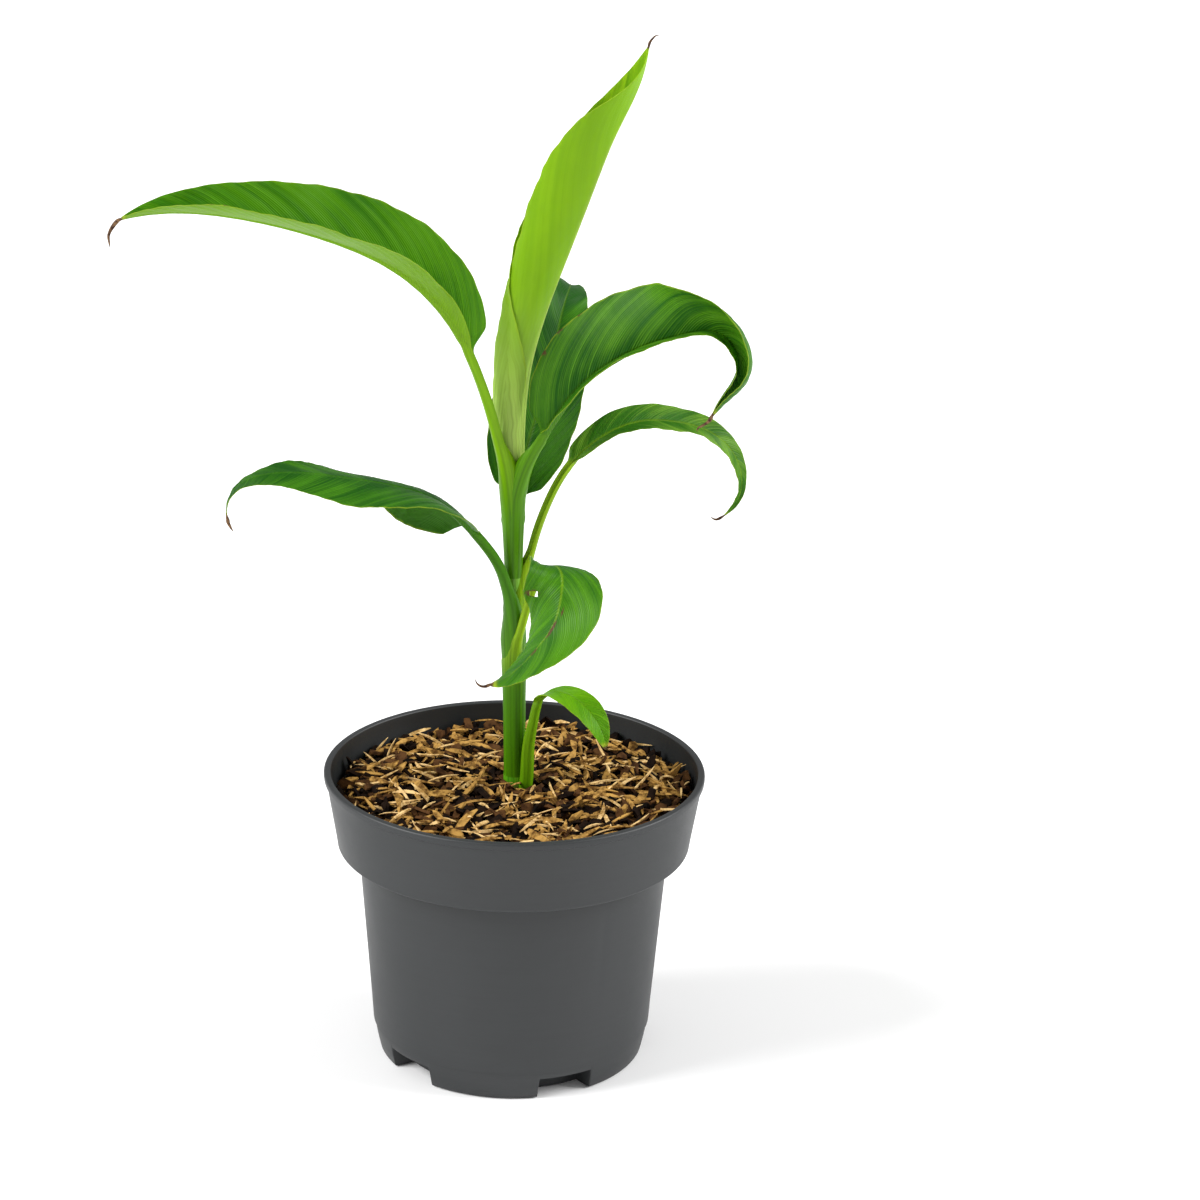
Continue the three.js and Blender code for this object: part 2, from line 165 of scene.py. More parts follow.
class Field:
    """A number that varies over a surface: the operators add Math nodes."""

    def __init__(self, finish, socket):
        self.finish = finish
        self.socket = socket

    def math(self, operation, *others):
        return self.finish.node("ShaderNodeMath", {"operation": operation}, [self, *others])

    def __add__(self, other):
        return self.math("ADD", other)

    __radd__ = __add__

    def __mul__(self, other):
        return self.math("MULTIPLY", other)

    __rmul__ = __mul__

    def __sub__(self, other):
        return self.math("SUBTRACT", other)

    def __rsub__(self, other):
        return self.finish.node("ShaderNodeMath", {"operation": "SUBTRACT"}, [other, self])

    def sine(self):
        return self.math("SINE")

    def size(self):
        return self.math("ABSOLUTE")

    def held(self):
        return self.finish.node("ShaderNodeClamp", {}, [self, 0.0, 1.0])

    def rise(self, low, high):
        """0 at low, 1 at high, smooth between."""
        settings = {"interpolation_type": "SMOOTHSTEP"}
        return self.finish.node("ShaderNodeMapRange", settings, [self, low, high, 0.0, 1.0])


class Finish:
    """A material being put together round one Principled shader."""

    def __init__(self, name, **constants):
        self.material = bpy.data.materials.new(name)
        self.material.use_nodes = True
        self.tree = self.material.node_tree
        self.tree.nodes.clear()
        self.output = self.tree.nodes.new("ShaderNodeOutputMaterial")
        self.shader = self.tree.nodes.new("ShaderNodeBsdfPrincipled")
        self.tree.links.new(self.shader.outputs[0], self.output.inputs[0])
        self.set(**constants)

    def node(self, kind, settings, sockets, output=0):
        """Adds a node: settings first, then each socket's value or link, by place or by name."""
        node = self.tree.nodes.new(kind)
        for key, value in settings.items():
            setattr(node, key, value)
        named = {socket.identifier: socket for socket in node.inputs}
        pairs = sockets.items() if isinstance(sockets, dict) else enumerate(sockets)
        for key, value in pairs:
            self.feed(named[key] if isinstance(key, str) else node.inputs[key], value)
        return Field(self, node.outputs[output])

    def feed(self, socket, value):
        if isinstance(value, Field):
            self.tree.links.new(value.socket, socket)
        elif value is not None:
            socket.default_value = value

    def attribute(self, name):
        return self.node("ShaderNodeAttribute", {"attribute_name": name}, [], output=2)

    def place(self):
        return self.node("ShaderNodeTexCoord", {}, [], output=3)

    def vector(self, x, y, z):
        return self.node("ShaderNodeCombineXYZ", {}, [x, y, z])

    def noise(self, vector, scale, detail=3.0, rough=0.5):
        sockets = {"Vector": vector, "Scale": scale, "Detail": detail, "Roughness": rough}
        return self.node("ShaderNodeTexNoise", {}, sockets)

    def blend(self, share, low, high):
        """Colour low where share is 0, colour high where it is 1."""
        sockets = {"Factor_Float": share, "A_Color": low, "B_Color": high}
        return self.node("ShaderNodeMix", {"data_type": "RGBA"}, sockets, output=2)

    def bump(self, height, strength, distance):
        sockets = {"Strength": strength, "Distance": distance, "Height": height}
        self.feed(self.shader.inputs["Normal"], self.node("ShaderNodeBump", {}, sockets))

    def set(self, **values):
        """Feeds the shader's sockets, named in lower case with underscores."""
        sockets = {socket.name.lower().replace(" ", "_"): socket for socket in self.shader.inputs}
        for name, value in values.items():
            self.feed(sockets[name], value)

    def glow_through(self, colour, share):
        """Light that passes through a thin leaf: a translucent shader mixed in by a fixed share."""
        thin = self.node("ShaderNodeBsdfTranslucent", {}, [colour])
        leaf = Field(self, self.shader.outputs[0])
        self.feed(self.output.inputs[0], self.node("ShaderNodeMixShader", {}, [share, leaf, thin]))


def rgb(red, green, blue):
    return (red, green, blue, 1.0)


def shade(colour, share):
    """The same colour, darker."""
    return rgb(*(channel * share for channel in colour[:3]))


BROWN = rgb(0.11, 0.05, 0.02)
YELLOW_EDGE = rgb(0.36, 0.48, 0.02)


def leaf_finish(name, face, deep, back, rib, sheath, thin, share):
    """Leaf tissue. The colour drifts between face and deep in streaks that follow the side veins, turns
    to back on the underside, to rib along the midrib and down the stalk, to sheath round the stem and to
    yellow at the margin. On the upper face it is darkened next to the midrib: painted shade in its channel."""
    f = Finish(name, roughness=0.42, specular_ior_level=0.2)
    vein, out, along = f.attribute("vein"), f.attribute("out"), f.attribute("along")
    edge, blade, upper = f.attribute("edge"), f.attribute("blade"), f.attribute("upper")
    ribbed, tip, sore = f.attribute("rib"), f.attribute("tip"), f.attribute("sore")
    broad = f.noise(f.vector(vein * 0.13, out * 0.02, blade), 1.0, 2.0)
    fine = f.noise(f.vector(vein * 0.9, out * 0.03, blade * 3), 1.0, 2.0)
    patch = f.noise(f.place(), 38.0, 3.0)
    lines = (vein * 5.0 + fine * 3).sine().rise(0.1, 0.9)
    # painted shade: the upper face is darkened within 6.5 mm of the midrib, as if its channel lay in shadow
    painted_channel_shade = 1 - out.size().rise(0.0, 6.5)
    drift = (broad - 0.5) * 2.4 + (fine - 0.5) * 2.4 + (patch - 0.5) * 2.4
    tone = (drift + 0.55 - painted_channel_shade * upper * 0.45).held()
    colour = f.blend(tone, deep, face)
    colour = f.blend((1 - upper) * 0.85, colour, back)
    colour = f.blend(lines * 0.5, colour, deep)
    grain = f.noise(f.vector(out * 1.3, along * 0.015, 0.0), 1.0, 2.0)
    streak = ((grain - 0.5) * 2.4 + 0.4).held()
    stalk_colour = f.blend(streak, rib, shade(rib, 0.5))
    sheath_colour = f.blend(streak, sheath, shade(sheath, 0.42))
    stalk_colour = f.blend(along.rise(-12.0, 22.0), sheath_colour, stalk_colour)
    colour = f.blend((ribbed * (0.8 - upper * 0.4) + (1 - blade)).held(), colour, stalk_colour)
    ragged = f.noise(f.vector(along * 0.35, 0.0, 3.0), 1.0, 2.0)
    colour = f.blend((edge + (ragged - 0.6) * 0.9).rise(0.3, 0.9) * 0.6, colour, YELLOW_EDGE)
    speck = f.noise(f.vector(along * 1.1, out * 1.1, 7.0), 1.0, 2.0)
    colour = f.blend((sore + (speck - 0.5) * 0.9).rise(0.45, 0.75) * sore.rise(0.02, 0.2), colour, BROWN)
    colour = f.blend(tip.rise(0.0, 0.55), colour, YELLOW_EDGE)
    colour = f.blend(tip.rise(0.5, 0.9), colour, BROWN)
    f.set(base_color=colour, roughness=0.3 + fine * 0.2)
    f.bump(((vein * 5.0 + fine * 3).sine() * 0.5 + fine) * blade + grain * (1 - blade) * 1.5, 0.4, 0.0003)
    f.glow_through(thin, share)
    return f.material


# ---------------------------------------------------------------- stem lines

STEM_FOOT_MIDDLE = np.array([0.1, 2.5])
STEM_FORK_MIDDLE = np.array([-2.2, 2.5])
STEM_HEIGHTS = [101.8, 108, 136, 167, 190, 214, 222]
STEM_RADII = [4.45, 4.15, 3.73, 3.45, 3.3, 3.25, 3.2]


def stem_middle(height):
    """Middle of the stem at a height: a straight line from its foot to its fork."""
    share = ((np.asarray(height, float) - STEM_FOOT) / (FORK - STEM_FOOT))[..., None]
    return mix(STEM_FOOT_MIDDLE, STEM_FORK_MIDDLE, share)


def stem_radius(height):
    """Radius of the stem at a height, from a short list of radii."""
    return np.interp(height, STEM_HEIGHTS, STEM_RADII)


# ---------------------------------------------------------------- leaves

RIB_COLUMNS = 5
WEB_COLUMNS = 17
ROW_STEP = 0.62
STALK_STEP = 1.2


def leaf_rows(leaf):
    """Distances along a leaf in mm, below 0 in its sheath, closer together on the blade."""
    bare = leaf["length"] * leaf["bare"]
    low = np.arange(-leaf["sheath"], bare, STALK_STEP)
    count = int((leaf["length"] - bare) / ROW_STEP)
    return np.concatenate([low[low < bare - 0.3], np.linspace(bare, leaf["length"], count)])


def sheath_radius(leaf, s):
    """Distance of a leaf's midrib from the stem's middle line in its sheath (s below 0), from just under
    the stem's surface at the sheath's foot to the leaf's start: the share to the power 3."""
    start = np.array(leaf["start"], float)
    reach = np.linalg.norm(start[:2] - stem_middle(start[2]))
    depth = np.clip(-np.asarray(s, float), 0, None)
    near = np.clip(1 - depth / max(leaf["sheath"], 1), 0, 1)
    return mix(stem_radius(start[2] - depth) - 0.5 * (1 - near), reach, near ** 3)


def leaf_frame(leaf, s):
    """Points and the three directions (forward, side, upper) of a leaf at distances s. Above 0 the midrib
    is the running sum of a direction whose pitch and heading are given; below 0 it hugs the stem."""
    steps = np.linspace(0, 1, 1201)
    pitch = np.radians(keys(leaf["pitch"], steps))
    heading = np.radians(keys(leaf["heading"], steps))
    forward = np.stack([np.cos(pitch) * np.cos(heading), np.cos(pitch) * np.sin(heading), np.sin(pitch)], -1)
    run = np.cumsum((forward[1:] + forward[:-1]) / 2, 0) * leaf["length"] / (len(steps) - 1)
    line = np.concatenate([np.zeros((1, 3)), run]) + leaf["start"]
    share = np.clip(s / leaf["length"], 0, 1)
    point = np.stack([np.interp(share, steps, line[:, k]) for k in range(3)], -1)
    start = np.array(leaf["start"], float)
    away = start[:2] - stem_middle(start[2])
    reach = np.linalg.norm(away)
    if leaf["sheath"] and not leaf.get("free"):
        depth = np.clip(-s, 0, None)
        height = start[2] - depth
        hug = sheath_radius(leaf, s)
        low = np.concatenate([stem_middle(height) + hug[:, None] * away / reach, height[:, None]], -1)
        point = np.where((s < 0)[:, None], low, point)
    elif leaf["sheath"]:
        point = np.where((s < 0)[:, None], start + np.outer(s, forward[0]), point)
    turn = np.interp(share, steps, heading)
    if not leaf.get("free"):
        outward = math.atan2(away[1], away[0])
        gap = (outward - turn + math.pi) % (2 * math.pi) - math.pi
        turn = turn + gap * (1 - smooth(0, leaf["mouth"] * 1.3, s))
    ahead = unit(np.gradient(point, axis=0))
    flat = np.stack([-np.sin(turn), np.cos(turn), 0 * turn], -1)
    side = unit(flat - (flat * ahead).sum(-1, keepdims=True) * ahead)
    upper = np.cross(ahead, side)
    bare = leaf["length"] * leaf["bare"]
    blade_share = np.clip((s - bare) / (leaf["length"] - bare), 0, 1)
    bank = keys(leaf["bank"], blade_share) * np.where(s < bare, smooth(0, bare, s), 1)
    bank = np.radians(bank)[:, None]
    banked_side = side * np.cos(bank) + upper * np.sin(bank)
    banked_upper = upper * np.cos(bank) - side * np.sin(bank)
    return point, banked_side, banked_upper, blade_share


def outline(half, blade_share):
    """Half a blade's width as a share of its greatest: the sine of half a turn run at an uneven pace, so
    that its crest falls where the blade is broadest, raised to the half's taper. A furled blade keeps
    its foot's width instead of narrowing to it."""
    pace = math.log(0.5) / math.log(half["broadest"])
    wave = np.sin(math.pi * np.clip(blade_share, 0, 1) ** pace) ** half["taper"]
    foot = half["foot"]
    return np.where(blade_share < half["broadest"], mix(foot, 1.0, wave), wave)


def half_section(leaf, half, s, blade_share, rng):
    """One half of a leaf across its midrib, as offsets to the side and up for each row and column. Its
    direction starts at fold and turns through curl on the way to the margin: the offsets are its sum."""
    bare = leaf["length"] * leaf["bare"]
    near = smooth(0, leaf["base"], blade_share)
    opening = smooth(0, leaf["mouth"], s)
    wrap = math.radians(leaf.get("wrap", 150))
    hug = np.full(len(s), leaf["stalk"]) if leaf.get("free") else sheath_radius(leaf, s)
    stalk_width = mix(hug * wrap, leaf["stalk"], opening)
    round_ = mix(1 / hug, 1 / (leaf["stalk"] * 0.92), opening)
    stalk_curl = np.degrees(stalk_width * round_)
    wobble = 1 + 0.006 * np.sin(s * 0.9 + rng.uniform(0, 6)) + 0.01 * np.sin(s * 0.37 + rng.uniform(0, 6))
    blade_width = np.maximum(half["width"] * outline(half, blade_share), 0.3) * wobble
    width = np.maximum(mix(stalk_width, blade_width, near), 0.3)
    fold = mix(12 * opening, keys(half["fold"], blade_share), near)
    curl = mix(stalk_curl, keys(half["curl"], blade_share), near)
    ridge = np.minimum(mix(width * 0.5, rib_band(leaf, blade_share), near), 0.45 * width)
    band = np.where(s < bare, width * 0.5, ridge)
    inner = np.linspace(0, 1, RIB_COLUMNS + 1)
    outer = np.linspace(0, 1, WEB_COLUMNS + 1)[1:]
    x = np.concatenate([band[:, None] * inner, band[:, None] + (width - band)[:, None] * outer], -1)
    share = x / width[:, None]
    angle = np.radians(fold[:, None] + curl[:, None] * share)
    middle = (angle[:, 1:] + angle[:, :-1]) / 2
    step = np.diff(x, axis=1)
    zero = np.zeros((len(s), 1))
    out = np.concatenate([zero, np.cumsum(step * np.cos(middle), 1)], 1)
    up = np.concatenate([zero, np.cumsum(step * np.sin(middle), 1)], 1)
    return out, up, x, share, width


def rib_band(leaf, blade_share):
    """Half the width of the midrib's ridge along the blade, in mm."""
    return mix(leaf["stalk"] * 0.8, 0.35, blade_share ** 0.8)


def both(field):
    """The same values for the upper and the lower face."""
    return np.stack([field, field])


def leaf_surface(leaf):
    """All of a leaf's points, faces and attributes: a middle sheet, then the two faces half a thickness
    off it, with pleats along the side veins, a wavy margin and a rounded midrib below."""
    rng = np.random.default_rng(leaf["seed"])
    s = leaf_rows(leaf)
    point, side, upper, blade_share = leaf_frame(leaf, s)
    bare = leaf["length"] * leaf["bare"]
    halves = []
    for sign, half in ((-1, leaf["right"]), (1, leaf["left"])):
        out, up, x, share, width = half_section(leaf, half, s, blade_share, rng)
        phase = rng.uniform(0, 2 * math.pi, 4)
        vein = (s - bare)[:, None] - leaf["slant"] * x * (1 + 0.55 * share)
        wave = leaf["ruffle"] * share ** 2 * (
            np.sin(2 * math.pi * s / 31 + phase[0]) + 0.6 * np.sin(2 * math.pi * s / 17 + phase[1]))[:, None]
        pleat = 0.5 * np.sin(2 * math.pi * vein / 7.3 + phase[2] + 1.3 * np.sin(vein / 9 + phase[3]))
        pleat = leaf["pleat"] * (pleat + 0.18 * np.sin(2 * math.pi * vein / 2.45)) * np.sqrt(share + 0.02)
        on_blade = smooth(0, 0.06, blade_share) * (1 - smooth(0.9, 1, blade_share))
        lift = (wave + pleat) * on_blade[:, None]
        place = point[:, None] + sign * out[..., None] * side[:, None] + up[..., None] * upper[:, None]
        data = {"out": sign * x, "share": share, "vein": vein, "lift": lift, "place": place, "x": x,
                "margin": width[:, None] - x}
        halves.append({key: value[:, ::-1] if sign < 0 else value[:, 1:] for key, value in data.items()})
    joined = {key: np.concatenate([halves[0][key], halves[1][key]], 1) for key in halves[0]}
    sheet = joined["place"]
    normal = unit(np.cross(np.gradient(sheet, axis=0), np.gradient(sheet, axis=1)))
    sheet = sheet + joined["lift"][..., None] * normal
    normal = unit(np.cross(np.gradient(sheet, axis=0), np.gradient(sheet, axis=1)))
    ridge_at = [-leaf["sheath"] - 1, 0, leaf["mouth"], max(bare, leaf["mouth"] + 1), leaf["length"]]
    ridge = np.interp(s, ridge_at, np.array([0.1, 0.35, 0.72, 0.62, 0.05]) * leaf["stalk"])
    band = np.where(s < bare, np.abs(joined["out"]).max(1), rib_band(leaf, blade_share))
    band = np.maximum(mix(band, rib_band(leaf, blade_share), smooth(0.0, 0.05, blade_share)), 0.2)
    bell = np.clip(1 - (joined["x"] / band[:, None]) ** 2, 0, 1) ** 1.5
    thick = mix(0.5, 0.34, smooth(0, 0.04, blade_share))[:, None]
    thick = thick * (0.55 + 0.45 * smooth(0, 0.6, joined["margin"]))
    groove = 0.22 * ridge[:, None] * np.clip(1 - (joined["x"] / (0.5 * band[:, None])) ** 2, 0, 1)
    groove = groove * smooth(-0.02, 0.04, blade_share)[:, None]
    above = sheet + normal * (thick / 2 - groove)[..., None]
    below = sheet - normal * (thick / 2 + ridge[:, None] * bell)[..., None]
    rows, columns = sheet.shape[:2]
    ones = np.ones((rows, columns))
    sore = np.zeros((rows, columns))
    keep = np.ones((rows - 1, columns - 1), bool)
    for at, out, length, breadth, torn in leaf.get("sores", []):
        reach = ((s[:, None] - at) / length) ** 2 + ((joined["out"] - out) / breadth) ** 2
        sore = np.maximum(sore, np.exp(-reach / (3.0 if torn else 1.0)))
        if torn:
            keep &= ~(reach[:-1, :-1] < 1)
    last = leaf["length"] - leaf.get("brown", 4.0)
    attributes = {
        "vein": both(joined["vein"]),
        "out": both(joined["out"]),
        "along": both(s[:, None] * ones),
        "edge": both(1 - smooth(0.05, 0.38, joined["margin"])) * smooth(0, 0.03, blade_share)[:, None],
        "blade": both(smooth(*leaf.get("greening", (0, 0.03)), blade_share)[:, None] * ones),
        "upper": np.stack([ones, 0 * ones]),
        "rib": np.stack([
            np.clip(1.25 - joined["x"] / (0.55 * band[:, None]), 0, 1),
            np.clip(1.3 - joined["x"] / band[:, None], 0, 1)]),
        "tip": both(smooth(last, leaf["length"], s)[:, None] * ones),
        "sore": both(sore),
    }
    points = np.concatenate([above.reshape(-1, 3), below.reshape(-1, 3)])
    return points, shell_faces(rows, columns, keep), attributes


def thread(name, path, radii, finish, sides=7):
    """A thin tapering tube: at each point of a smooth path, a circle of the radius there, square to the
    path: radius * (cos(angle) * side + sin(angle) * up)."""
    share = np.linspace(0, 1, 26)
    line = np.stack([keys([p[k] for p in path], share) for k in range(3)], -1)
    ahead = unit(np.gradient(line, axis=0))
    side = unit(np.cross(ahead, [0.13, 0.9, 0.41]))
    up = np.cross(ahead, side)
    angle = np.linspace(0, 2 * math.pi, sides, endpoint=False)
    radius = keys(radii, share)[:, None, None]
    circle = np.cos(angle)[:, None] * side[:, None] + np.sin(angle)[:, None] * up[:, None]
    rings = line[:, None] + radius * circle
    return ring_body(name, rings, finish)


DARK = dict(face=rgb(0.058, 0.225, 0.004), deep=rgb(0.009, 0.085, 0.001), back=rgb(0.065, 0.22, 0.015),
            rib=rgb(0.07, 0.25, 0.003), sheath=rgb(0.09, 0.28, 0.001), thin=rgb(0.09, 0.34, 0.001), share=0.2)
GRASS = dict(face=rgb(0.09, 0.29, 0.003), deep=rgb(0.022, 0.13, 0.001), back=rgb(0.2, 0.4, 0.05),
             rib=rgb(0.36, 0.6, 0.008), sheath=rgb(0.3, 0.54, 0.005), thin=rgb(0.15, 0.42, 0.001), share=0.22)
FRESH = dict(face=rgb(0.12, 0.36, 0.001), deep=rgb(0.04, 0.19, 0.0005), back=rgb(0.27, 0.5, 0.015),
             rib=rgb(0.26, 0.52, 0.005), sheath=rgb(0.12, 0.36, 0.001), thin=rgb(0.22, 0.55, 0.001),
             share=0.26)
LIME = dict(FRESH, face=rgb(0.18, 0.45, 0.001), deep=rgb(0.09, 0.3, 0.0005), rib=rgb(0.2, 0.42, 0.004))
YOUNG = dict(face=rgb(0.44, 0.69, 0.01), deep=rgb(0.13, 0.34, 0.001), back=rgb(0.27, 0.52, 0.005),
             rib=rgb(0.62, 0.84, 0.18), sheath=rgb(0.5, 0.74, 0.08), thin=rgb(0.55, 0.8, 0.002), share=0.34)

COMMON = dict(base=0.05, slant=1.15, ruffle=0.3, pleat=0.2, bank=[0], mouth=24.0, stalk=2.5)

def on_stem(height, side, offset=0.5):
    """Where a leaf leaves the stem: just off its surface at a height, in the compass direction side."""
    angle = math.radians(side)
    reach = stem_radius(height) + offset
    x, y = stem_middle(height) + reach * np.array([math.cos(angle), math.sin(angle)])
    return (float(x), float(y), float(height))


def half(width, broadest, fold, curl, taper=0.6, foot=0.0):
    """One half of a blade: its greatest width, the share of the blade where that is, the angles at which it
    leaves the midrib, the angles through which it then rolls, how sharply it narrows to both ends, and the
    share of its width that it keeps at its foot."""
    return dict(width=width, broadest=broadest, fold=fold, curl=curl, taper=taper, foot=foot)


# Pitches are a midrib's angles above level and headings its compass directions, at even steps from the stem.
LEAVES = {
    "upper_left_leaf": dict(
        COMMON, seed=11, tint=FRESH, start=on_stem(214, -125), length=198, bare=0.28, sheath=26,
        pitch=[85, 75, 65, 45, 25, 15, 5, -15], heading=[-160, -175], bank=[-10],
        sores=[(163, 12.5, 1.6, 0.9, False), (167, 11.5, 1.4, 0.8, False)],
        left=half(16, 0.5, [50, 35, 25, 30, 40], [15], taper=0.8),
        right=half(19, 0.35, [75, 65, 60], [20, 10, 0], taper=0.8)),
    "upper_right_leaf": dict(
        COMMON, seed=12, start=on_stem(214, -55), length=140, bare=0.18, sheath=30, brown=5.0,
        tint=dict(DARK, face=rgb(0.1, 0.3, 0.008), deep=rgb(0.012, 0.1, 0.001), rib=rgb(0.13, 0.36, 0.003),
                  sheath=rgb(0.1, 0.31, 0.001)),
        pitch=[80, 70, 60, 55, 40, 30, 20, 10, -60, -120, -110], heading=[-15, -5, -15, -10],
        sores=[(48, 17.5, 1.2, 1.2, False), (55, 19.6, 1.6, 1.0, False), (62, 20.4, 1.0, 0.8, False)],
        left=half(21, 0.4, [75, 75, 90, 95, 85], [5, 0, -15, 100, 180], taper=0.7),
        right=half(12, 0.35, [5, 10, 0], [-10], taper=1.0)),
    "back_leaf": dict(
        COMMON, seed=13, wrap=55, mouth=12.0, brown=2.0, start=on_stem(204, 90, 2.0), length=110, bare=0.07,
        sheath=22,
        tint=dict(DARK, rib=rgb(0.2, 0.42, 0.01)),
        pitch=[85, 70, 65, 65, 60, 0, -30], heading=[50, 55, 100], bank=[40, 40, 10],
        left=half(18, 0.4, [10, 15], [5]),
        right=half(15, 0.3, [15, 5, 10], [5], taper=0.8)),
    "lower_right_leaf": dict(
        COMMON, seed=14, pleat=0.26, start=on_stem(171, 15), length=156, bare=0.36, sheath=26, stalk=1.7,
        tint=dict(GRASS, face=rgb(0.2, 0.42, 0.03), deep=rgb(0.03, 0.15, 0.002),
                  sheath=rgb(0.14, 0.38, 0.002)),
        pitch=[90, 80, 70, 60, 40, 20, -5, -20, -50, -90, -150], heading=[30, 20, 10], bank=[20, 40, 80],
        left=half(7, 0.25, [10, 15], [5], taper=0.9),
        right=half(5.5, 0.4, [15], [5], taper=0.8)),
    "lower_left_leaf": dict(
        COMMON, seed=15, pleat=0.26, tint=DARK, start=on_stem(159, -105), length=154, bare=0.3, sheath=26,
        pitch=[90, 80, 55, 45, 20, 10, 5, -20, -105], heading=[-155, -160, -175, -170],
        left=half(16, 0.25, [10, 5, -30, -40, -25], [-10], taper=1.3),
        right=half(27, 0.2, [35, 15, 5, 10, -5], [-145, -120, -40, 10, 5], taper=1.5)),
    "front_leaf": dict(
        COMMON, seed=16, pleat=0.34, start=on_stem(151, -80), length=110, bare=0.33, sheath=44, stalk=1.7,
        mouth=14.0,
        tint=dict(GRASS, sheath=rgb(0.08, 0.26, 0.001)),
        sores=[(67.5, -10.5, 1.3, 1.9, True), (80, 0.4, 5, 0.8, False), (90, 0.2, 2.5, 0.7, False),
               (73, 1.5, 2, 0.5, False)],
        pitch=[90, 75, 70, 50, -5, -65, -50, -45, -20], heading=[-30, -45, -70, -150, -185],
        left=half(15, 0.4, [-5, -15, -5], [-10]),
        right=half(14, 0.5, [0], [130, 10, -10, -10])),
    "sucker": dict(
        COMMON, seed=17, tint=LIME, start=(5.0, -2.0, 102.6), length=78, bare=0.46, sheath=2, free=True,
        stalk=1.9, mouth=34.0, ruffle=0.2,
        pitch=[80, 90, 80, 75, 20, -20, -50, -85], heading=[-50, -40, -30], bank=[0, 20, 30],
        left=half(5, 0.6, [20], [5], taper=1.0),
        right=half(7, 0.4, [10], [5])),
    "furled_leaf": dict(
        COMMON, seed=18, tint=YOUNG, greening=(0.12, 0.5), start=(1.0, 5.0, 206.0), length=178, bare=0.0,
        sheath=0, free=True, mouth=1.0, base=0.0001, ruffle=0.0, pleat=0.1, slant=2.6, stalk=1.4, brown=2.0,
        pitch=[90, 90, 85, 75, 70, 70, 70, 65, 85], heading=[0],
        left=half(28, 0.35, [0, 10, 10, 60, 70], [330, 340, 170, 60, 0], taper=0.8, foot=0.6),
        right=half(22, 0.6, [10, 10, 20, 50, 0], [150, 150, 130, 70, 0], taper=0.9, foot=0.4)),
}


TIP_THREADS = {
    "upper_left_leaf": ([(0, 0, 0), (-2.2, 0, -2.6), (-3.4, 0, -5.2), (-3.3, 0, -7.6),
                         (-3.0, 0, -9.6)], 0.75),
    "upper_right_leaf": ([(0, 0, 0), (-0.9, 0, -1.6), (-2.4, 0, -2.8), (-4.6, 0, -4.2),
                          (-5.0, 0, -5.4)], 0.7),
    "back_leaf": ([(0, 0, 0), (0.3, 0.6, 0.8), (0.7, 1.2, 1.2), (1.2, 1.8, 1.0), (1.5, 2.2, 0.5)], 0.5),
    "lower_right_leaf": ([(0, 0, 0), (-1.0, 0, -0.6), (-2.0, 0, -0.8), (-3.0, 0, -0.4),
                          (-3.9, 0, 0.2)], 0.55),
    "lower_left_leaf": ([(0, 0, 0), (0.2, 0, -1.3), (0.8, 0, -2.6), (1.3, 0, -3.6), (2.0, 0, -4.6)], 0.7),
    "front_leaf": ([(0, 0, 0), (-1.6, -0.6, -0.4), (-3.2, -1.0, -0.1), (-4.5, -1.2, 1.0),
                    (-5.2, -1.2, 2.6)], 0.6),
    "furled_leaf": ([(0, 0, 0), (0.5, 0, 1.6), (1.5, 0, 2.9), (2.3, 0, 3.6), (3.4, 0, 3.7)], 0.5),
}


def build_threads():
    """The withered thread at each leaf's tip, from the end of its midrib."""
    f = Finish("withered_tip", roughness=0.7, specular_ior_level=0.2)
    dry = f.noise(f.place(), 700.0, 3.0)
    f.set(base_color=f.blend(dry.rise(0.35, 0.65), rgb(0.035, 0.014, 0.008), rgb(0.2, 0.11, 0.05)))
    f.bump(dry, 0.6, 0.0002)
    for name, (path, radius) in TIP_THREADS.items():
        leaf = LEAVES[name]
        point = leaf_frame(leaf, leaf_rows(leaf))[0]
        back = unit(point[-2] - point[-1]) * 2.5
        offsets = np.concatenate([[back], np.array(path, float)])
        line = [tuple(point[-1] + offset) for offset in offsets]
        radii = [0.15, radius, radius * 0.8, radius * 0.55, 0.1]
        declare(thread(name + "_tip_thread", line, radii, f.material), "leaf_blade")


def build_leaves():
    cad_nodes = set(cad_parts)
    for name, leaf in LEAVES.items():
        points, faces, attributes = leaf_surface(leaf)
        finish = leaf_finish(name + "_tissue", **leaf["tint"])
        piece = mesh_piece(name + "_sheet", points, faces, finish, attributes, crease=65)
        nodes = sorted(node for node in cad_nodes if node == name or node.startswith(name + "_"))
        slot = "young_leaf" if name in ("sucker", "furled_leaf") else "leaf_blade"
        declare(piece, slot, *nodes)


# ---------------------------------------------------------------- stem

